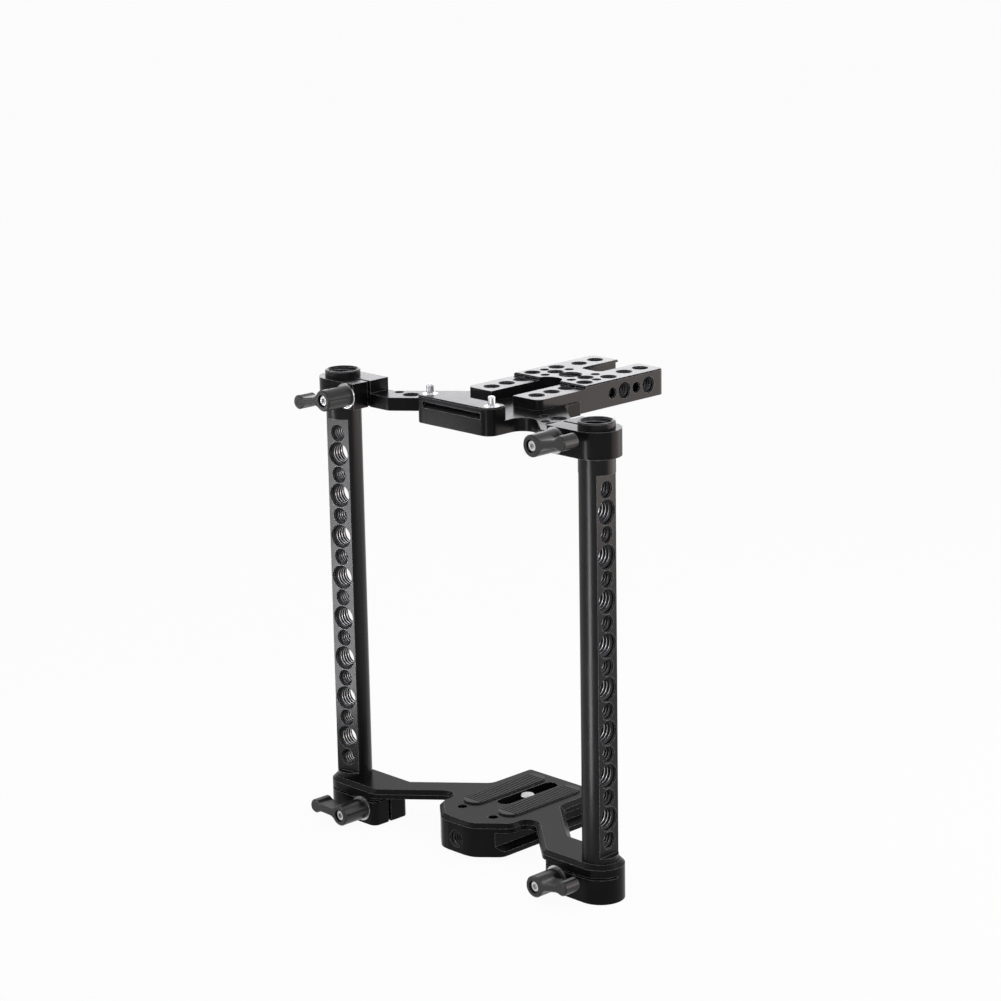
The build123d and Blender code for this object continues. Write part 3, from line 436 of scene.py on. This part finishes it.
def thread_piece(name, holes, body):
    """All the thread ridges of one part, as one mesh with dark flanks and crests painted bright, a
    painted highlight.
    """
    points, faces, crests = [], [], []
    for hole in holes:
        ridge(points, faces, crests, *hole)
    mesh = bpy.data.meshes.new(name)
    mesh.from_pydata([tuple(p) for p in points], [], faces)
    mesh.materials.append(MATERIALS["thread"])
    mesh.materials.append(MATERIALS["crest"])
    # crest faces take the bright metal: a painted highlight along each ridge
    for index in crests:
        mesh.polygons[index].material_index = 1
    piece = bpy.data.objects.new(name, mesh)
    bpy.context.scene.collection.objects.link(piece)
    mesh.shade_smooth()
    mesh.set_sharp_from_angle(angle=radians(SHARP_ANGLE))
    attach(piece, body)


def rod_threads(name, side):
    """The cross holes of one rod, small and large in turn, and the threads in its ends."""
    turn = radians(ROD_TURNS[name])
    into = Vector((-sin(turn), cos(turn), 0))
    centre = Vector((side * ROD_X, 0, 0))
    holes = []
    for i in range(ROD_HOLES):
        thread = (QUARTER, THREE_EIGHTHS)[(ROD_HOLES - 1 - i) % 2]
        height = Vector((0, 0, ROD_HOLE_FIRST + i * ROD_HOLE_PITCH))
        holes.append((centre + height - into * FLAT_ACROSS / 2, into, thread, FLAT_ACROSS))
    low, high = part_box(name)
    bottom = centre + Vector((0, 0, low[2] / MM))
    top = centre + Vector((0, 0, high[2] / MM))
    bottom_depth, top_depth = ROD_END_DEPTHS
    holes.append((bottom, (0, 0, 1), END_THREAD, bottom_depth, False))
    holes.append((top, (0, 0, -1), END_THREAD, top_depth, False))
    thread_piece(f"{name}_threads", holes, name)


def nose_thread():
    """The thread in the front of the base bracket."""
    thread_piece("nose_thread", [(NOSE_HOLE, (0, 1, 0), QUARTER, NOSE_HOLE_DEPTH, False)],
                 "base")


def arm_threads():
    """The threads through both arms of the top bracket."""
    run = Vector(ARM_END) - Vector(ARM_ROOT)
    across = Vector((-run.y, run.x)).normalized()
    holes = []
    for share, aside in ARM_THREADS:
        x, y = Vector(ARM_ROOT) + run * share + across * aside
        holes += [((side * x, y, DECK_Z), (0, 0, -1), QUARTER, TOP_ARM_THICK) for side in (-1, 1)]
    thread_piece("arm_threads", holes, "top")


def plate_threads():
    """The threads down through the accessory plate, and those in its sides."""
    down = (0, 0, -1)
    holes = [((0, PLATE_CENTRE_Y, PLATE_TOP), down, THREE_EIGHTHS, PLATE_THICK)]
    for side in (-1, 1):
        holes += [((side * x, y, LAP_TOP), down, QUARTER, LAP_THICK) for x, y in LAP_THREADS]
        holes += [((side * x, y, PLATE_TOP), down, QUARTER, PLATE_THICK) for x, y in PLATE_THREADS]
        for y in SIDE_THREADS_Y:
            mouth = (side * PLATE_HALF, y, PLATE_TOP - PLATE_THICK / 2)
            holes.append((mouth, (-side, 0, 0), QUARTER, SIDE_THREAD_DEPTH, False))
    thread_piece("plate_threads", holes, "top")


# --- springs, copied onto their joints' bodies


def squashed_spring(name, body):
    """A copy of the spring's own coils on its own mesh, attached to the body; the CAD node is hidden.
    """
    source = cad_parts[name]
    piece = bpy.data.objects.new(f"{name}_coils", source.data.copy())
    bpy.context.scene.collection.objects.link(piece)
    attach(piece, body)
    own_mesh(piece)
    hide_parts(name)


def springs():
    """The springs in the four levers, and those under the two stop pins."""
    for place in ("top_left", "top_right", "base_left", "base_right"):
        squashed_spring(f"lever_spring_{place}", f"lever_clamp_{place}")
    for side in ("left", "right"):
        squashed_spring(f"stop_spring_{side}", "top")


# --- studio


def panel(name, around, bearing, distance, low, high, width, radiance, colour,
          tilt=0, half_beam=None):
    """A soft light standing on edge at a bearing (degrees from +X) and distance from a point.

    It leans back by tilt degrees. A half_beam, in degrees, keeps its light to a narrow beam. A
    lamp puts all its power into its beam, so a narrow one gets less, for the same radiance.
    """
    height = high - low
    data = bpy.data.lights.new(name, "AREA")
    data.shape = "RECTANGLE"
    data.size, data.size_y = width, height
    data.energy = radiance * width * height * LAMP_POWER
    data.color = colour
    if half_beam is not None:
        beam = radians(half_beam)
        data.spread = 2 * beam
        data.energy *= (tan(beam) - beam) / tan(beam)
    light = bpy.data.objects.new(name, data)
    bpy.context.scene.collection.objects.link(light)
    out = Vector((cos(radians(bearing)), sin(radians(bearing)), 0))
    light.location = Vector((*around, 0)) + out * distance + Vector((0, 0, (low + high) / 2))
    aim = Vector((0, 0, 1)) * sin(radians(tilt)) - out * cos(radians(tilt))
    light.rotation_euler = aim.to_track_quat("-Z", "Y").to_euler()
    light.visible_camera = False


def studio():
    """Four lamps round the top, one beside, a strip before each rod, and two large ones high up."""
    above = {"around": (0, 0.03), "low": 0.212, "high": 0.285, "width": 0.34}
    panel("back_soft", bearing=135.5, distance=0.25, radiance=2.4, colour=(0.97, 0.96, 1.0), **above)
    for bearing in (225.5, 315.5, 45.5):
        panel(f"ring_soft_{bearing:.0f}", bearing=bearing, distance=0.27, radiance=1.6,
              colour=(0.97, 0.97, 1.0), **above)
    panel("side_warm", around=(0.02, 0.08), bearing=44.6, distance=0.40, low=0.03, high=0.19,
          width=0.50, radiance=2.7, colour=(1.0, 0.86, 0.80))
    strip = {"distance": 0.15, "low": 0.0, "radiance": 25.0, "colour": (0.98, 0.97, 1.0)}
    panel("strip_left", around=(-ROD_X * MM, 0), bearing=241.0, high=0.145, width=0.032,
          tilt=17, half_beam=25, **strip)
    panel("strip_right", around=(ROD_X * MM, 0), bearing=262.5, high=0.155, width=0.030,
          tilt=15, half_beam=28, **strip)
    large = {"around": (0, 0), "distance": 1.20, "width": 0.80}
    panel("front_high", bearing=250.0, low=0.60, high=1.30, radiance=1.6, colour=(1.0, 1.0, 1.0),
          **large)
    panel("right_high", bearing=-10.0, low=0.50, high=1.20, radiance=1.2, colour=(1.0, 0.97, 0.95),
          **large)


def floor_paper():
    """Pale paper that takes shadows, and is nearly plain white where it is seen or mirrored."""
    material, tree, shader = new_material("floor_paper")
    grain = noise(tree, coordinates(tree), scale=900.0, detail=2.0)
    tree.links.new(blend_colour(tree, grain, *PAPER_WHITE), shader.inputs["Base Color"])
    shader.inputs["Roughness"].default_value = 0.9
    white = tree.nodes.new("ShaderNodeEmission")
    white.inputs["Strength"].default_value = 1.0
    share = math_node(tree, "MULTIPLY", seen_or_mirrored(tree), FLOOR_WHITE)
    mixed = mix_shaders(tree, share, shader.outputs["BSDF"], white.outputs["Emission"])
    tree.links.new(mixed, tree.nodes["Material Output"].inputs["Surface"])
    return material


def floor():
    """A pale floor at the object's lowest point."""
    low = CAD_BOX[0][2]
    mesh = bpy.data.meshes.new("floor")
    corners = ((-1, -1), (1, -1), (1, 1), (-1, 1))
    points = [(x * FLOOR_REACH, y * FLOOR_REACH, low) for x, y in corners]
    mesh.from_pydata(points, [], [(0, 1, 2, 3)])
    mesh.materials.append(floor_paper())
    ground = bpy.data.objects.new("floor", mesh)
    bpy.context.scene.collection.objects.link(ground)


def room():
    """A world that is white where it is seen or mirrored, and lights matt surfaces from above."""
    world = bpy.data.worlds.new("studio")
    bpy.context.scene.world = world
    world.use_nodes = True
    tree = world.node_tree
    tree.nodes.clear()
    out = tree.nodes.new("ShaderNodeOutputWorld")
    white = tree.nodes.new("ShaderNodeBackground")
    light = tree.nodes.new("ShaderNodeBackground")
    white.inputs["Color"].default_value = (1, 1, 1, 1)
    light.inputs["Color"].default_value = (0.96, 0.97, 1.0, 1)
    place = tree.nodes.new("ShaderNodeTexCoord")
    split = tree.nodes.new("ShaderNodeSeparateXYZ")
    tree.links.new(place.outputs["Generated"], split.inputs["Vector"])
    level = remap(tree, split.outputs["Z"], ROOM_LIGHT, SKY_LIGHT, *SKY_RISE)
    tree.links.new(level, light.inputs["Strength"])
    mixed = mix_shaders(tree, seen_or_mirrored(tree), light.outputs["Background"],
                        white.outputs["Background"])
    tree.links.new(mixed, out.inputs["Surface"])


def camera():
    """The camera at the photo's viewing angle."""
    az = radians(CAMERA_AZIMUTH)
    el = radians(CAMERA_ELEVATION)
    roll = radians(CAMERA_ROLL)
    back = Vector((sin(az) * cos(el), -cos(az) * cos(el), sin(el)))
    right = Vector((cos(az), sin(az), 0))
    up = back.cross(right)
    right, up = right * cos(roll) + up * sin(roll), up * cos(roll) - right * sin(roll)
    data = bpy.data.cameras.new("camera")
    data.lens = CAMERA_LENS
    data.sensor_width = SENSOR_WIDTH
    view = bpy.data.objects.new("camera", data)
    bpy.context.scene.collection.objects.link(view)
    turn = Matrix((right, up, back)).transposed().to_4x4()
    view.matrix_world = Matrix.Translation(CAMERA_AT) @ turn
    bpy.context.scene.camera = view


paint_frame()
rod_threads("rod_left", -1)
rod_threads("rod_right", 1)
nose_thread()
arm_threads()
plate_threads()
springs()
studio()
floor()
room()
camera()
bpy.context.scene.view_settings.view_transform = "Standard"
